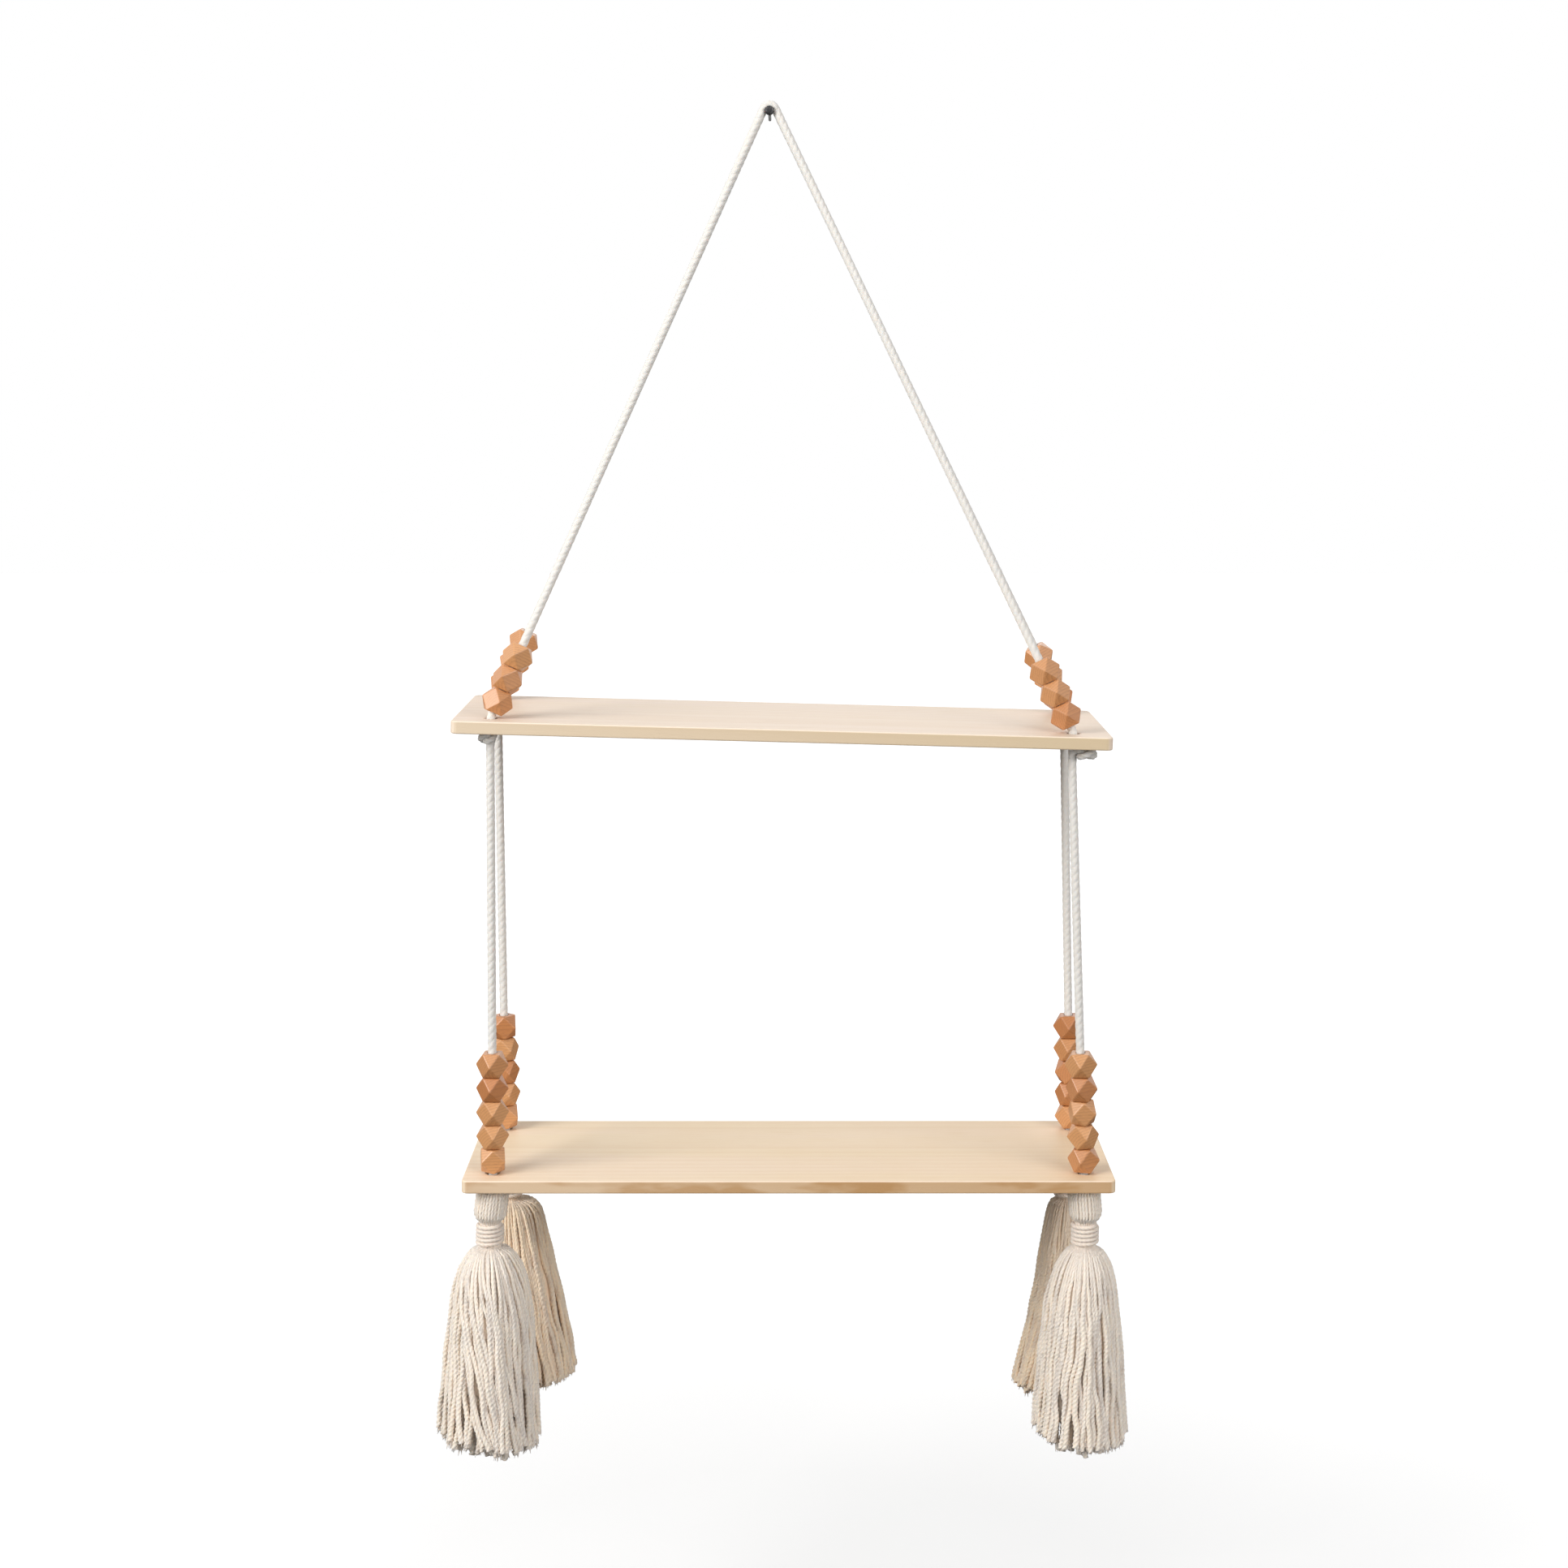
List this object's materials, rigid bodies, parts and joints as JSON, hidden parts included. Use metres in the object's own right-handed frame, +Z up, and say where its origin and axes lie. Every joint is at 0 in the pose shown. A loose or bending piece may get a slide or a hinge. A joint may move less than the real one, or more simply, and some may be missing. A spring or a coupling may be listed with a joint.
{
  "type": "hanging rope shelf",
  "caption": "Hanging wall shelf: drilled pine boards on rope falls that share one wall nail, with faceted wooden beads on the ropes and bound yarn tassels below.",
  "frame": {"origin": "where the axis of the wall nail that holds the whole shelf enters the wall", "axes": "+X along the boards to the right, -Y out of the wall towards the viewer, +Z up; the wall is y = 0"},
  "size_m": [0.4373, 0.161, 0.8538],
  "materials": {
    "pine": "planed pale pine, thin clear varnish",
    "bead": "faceted hardwood, satin caramel stain",
    "rope": "twisted cotton rope, undyed",
    "tassel": "loose cotton yarns, undyed",
    "binding": "cotton cord, undyed",
    "iron": "dark oxidised steel"
  },
  "bodies": {
    "nail": {"wall_nail": "iron"},
    "crown": {"rope_crown_front": "rope", "rope_crown_rear": "rope"},
    "upper_shelf": {"upper_board": "pine", "upper_fall_front_left": "rope", "upper_fall_rear_left": "rope", "upper_fall_front_right": "rope", "upper_fall_rear_right": "rope"},
    "lower_shelf": {"lower_board": "pine"},
    "upper_beads_front_left": {"upper_bead_front_left_1": "bead", "upper_bead_front_left_2": "bead", "upper_bead_front_left_3": "bead"},
    "middle_rope_front_left": {"middle_fall_front_left": "rope"},
    "lower_beads_front_left": {"lower_bead_front_left_1": "bead", "lower_bead_front_left_2": "bead", "lower_bead_front_left_3": "bead", "lower_bead_front_left_4": "bead", "lower_bead_front_left_5": "bead"},
    "tassel_bundle_front_left": {"tassel_front_left": "tassel", "binding_front_left": "binding"},
    "upper_beads_rear_left": {"upper_bead_rear_left_1": "bead", "upper_bead_rear_left_2": "bead", "upper_bead_rear_left_3": "bead"},
    "middle_rope_rear_left": {"middle_fall_rear_left": "rope"},
    "lower_beads_rear_left": {"lower_bead_rear_left_1": "bead", "lower_bead_rear_left_2": "bead", "lower_bead_rear_left_3": "bead", "lower_bead_rear_left_4": "bead", "lower_bead_rear_left_5": "bead"},
    "tassel_bundle_rear_left": {"tassel_rear_left": "tassel", "binding_rear_left": "binding"},
    "upper_beads_front_right": {"upper_bead_front_right_1": "bead", "upper_bead_front_right_2": "bead", "upper_bead_front_right_3": "bead"},
    "middle_rope_front_right": {"middle_fall_front_right": "rope"},
    "lower_beads_front_right": {"lower_bead_front_right_1": "bead", "lower_bead_front_right_2": "bead", "lower_bead_front_right_3": "bead", "lower_bead_front_right_4": "bead", "lower_bead_front_right_5": "bead"},
    "tassel_bundle_front_right": {"tassel_front_right": "tassel", "binding_front_right": "binding"},
    "upper_beads_rear_right": {"upper_bead_rear_right_1": "bead", "upper_bead_rear_right_2": "bead", "upper_bead_rear_right_3": "bead"},
    "middle_rope_rear_right": {"middle_fall_rear_right": "rope"},
    "lower_beads_rear_right": {"lower_bead_rear_right_1": "bead", "lower_bead_rear_right_2": "bead", "lower_bead_rear_right_3": "bead", "lower_bead_rear_right_4": "bead", "lower_bead_rear_right_5": "bead"},
    "tassel_bundle_rear_right": {"tassel_rear_right": "tassel", "binding_rear_right": "binding"}
  },
  "joints": [
    {"name": "side_swing", "type": "hinge", "parent": "nail", "child": "crown", "pos_m": [0, -0.0285, 0], "axis": [0, 1, 0], "range_deg": [-5, 5]},
    {"name": "tilt_out", "type": "hinge", "parent": "crown", "child": "upper_shelf", "pos_m": [0, -0.0285, 0], "axis": [-1, 0, 0], "range_deg": [0, 12]},
    {"name": "upper_beads_front_left_slide", "type": "slide", "parent": "upper_shelf", "child": "upper_beads_front_left", "axis": [0.3986, 0.1719, 0.9009], "range_m": [0, 0.2]},
    {"name": "upper_beads_rear_left_slide", "type": "slide", "parent": "upper_shelf", "child": "upper_beads_rear_left", "axis": [0.4156, -0.0227, 0.9093], "range_m": [0, 0.2]},
    {"name": "upper_beads_front_right_slide", "type": "slide", "parent": "upper_shelf", "child": "upper_beads_front_right", "axis": [-0.4216, 0.1659, 0.8915], "range_m": [0, 0.2]},
    {"name": "upper_beads_rear_right_slide", "type": "slide", "parent": "upper_shelf", "child": "upper_beads_rear_right", "axis": [-0.4377, -0.0219, 0.8989], "range_m": [0, 0.2]},
    {"name": "sway_front_left", "type": "hinge", "parent": "upper_shelf", "child": "middle_rope_front_left", "pos_m": [-0.1724, -0.104, -0.40013], "axis": [0, 1, 0], "range_deg": [-5, 5]},
    {"name": "lower_beads_front_left_slide", "type": "slide", "parent": "middle_rope_front_left", "child": "lower_beads_front_left", "axis": [0.0022, 0, 1], "range_m": [0, 0.188]},
    {"name": "sway_rear_left", "type": "hinge", "parent": "upper_shelf", "child": "middle_rope_rear_left", "pos_m": [-0.1779, -0.016, -0.39999], "axis": [0, 1, 0], "range_deg": [-5, 5]},
    {"name": "lower_beads_rear_left_slide", "type": "slide", "parent": "middle_rope_rear_left", "child": "lower_beads_rear_left", "axis": [-0.0107, 0, 0.9999], "range_m": [0, 0.188]},
    {"name": "sway_front_right", "type": "hinge", "parent": "upper_shelf", "child": "middle_rope_front_right", "pos_m": [0.18747, -0.104, -0.40956], "axis": [0, 1, 0], "range_deg": [-5.3, 5.3]},
    {"name": "lower_beads_front_right_slide", "type": "slide", "parent": "middle_rope_front_right", "child": "lower_beads_front_right", "axis": [-0.0366, 0, 0.9993], "range_m": [0, 0.178]},
    {"name": "sway_rear_right", "type": "hinge", "parent": "upper_shelf", "child": "middle_rope_rear_right", "pos_m": [0.19297, -0.016, -0.4097], "axis": [0, 1, 0], "range_deg": [-5.3, 5.3]},
    {"name": "lower_beads_rear_right_slide", "type": "slide", "parent": "middle_rope_rear_right", "child": "lower_beads_rear_right", "axis": [-0.0232, 0, 0.9997], "range_m": [0, 0.178]},
    {"name": "lower_board_level", "type": "hinge", "parent": "middle_rope_front_left", "child": "lower_shelf", "pos_m": [-0.173, -0.104, -0.67], "axis": [0, 1, 0], "range_deg": [-5, 5]},
    {"name": "tassel_front_left_swing", "type": "hinge", "parent": "lower_shelf", "child": "tassel_bundle_front_left", "pos_m": [-0.173, -0.104, -0.68561], "axis": [0, 1, 0], "range_deg": [-12, 12]},
    {"name": "tassel_rear_left_swing", "type": "hinge", "parent": "lower_shelf", "child": "tassel_bundle_rear_left", "pos_m": [-0.175, -0.016, -0.68561], "axis": [0, 1, 0], "range_deg": [-12, 12]},
    {"name": "tassel_front_right_swing", "type": "hinge", "parent": "lower_shelf", "child": "tassel_bundle_front_right", "pos_m": [0.197, -0.104, -0.68561], "axis": [0, 1, 0], "range_deg": [-12, 12]},
    {"name": "tassel_rear_right_swing", "type": "hinge", "parent": "lower_shelf", "child": "tassel_bundle_rear_right", "pos_m": [0.199, -0.016, -0.68561], "axis": [0, 1, 0], "range_deg": [-12, 12]}
  ],
  "couplings": [
    {"joint": "sway_rear_left", "follows": "sway_front_left", "ratio": 0.99947},
    {"joint": "sway_front_right", "follows": "sway_front_left", "ratio": 1.0362},
    {"joint": "sway_rear_right", "follows": "sway_front_left", "ratio": 1.0368},
    {"joint": "lower_board_level", "follows": "sway_front_left", "ratio": -0.97171}
  ]
}
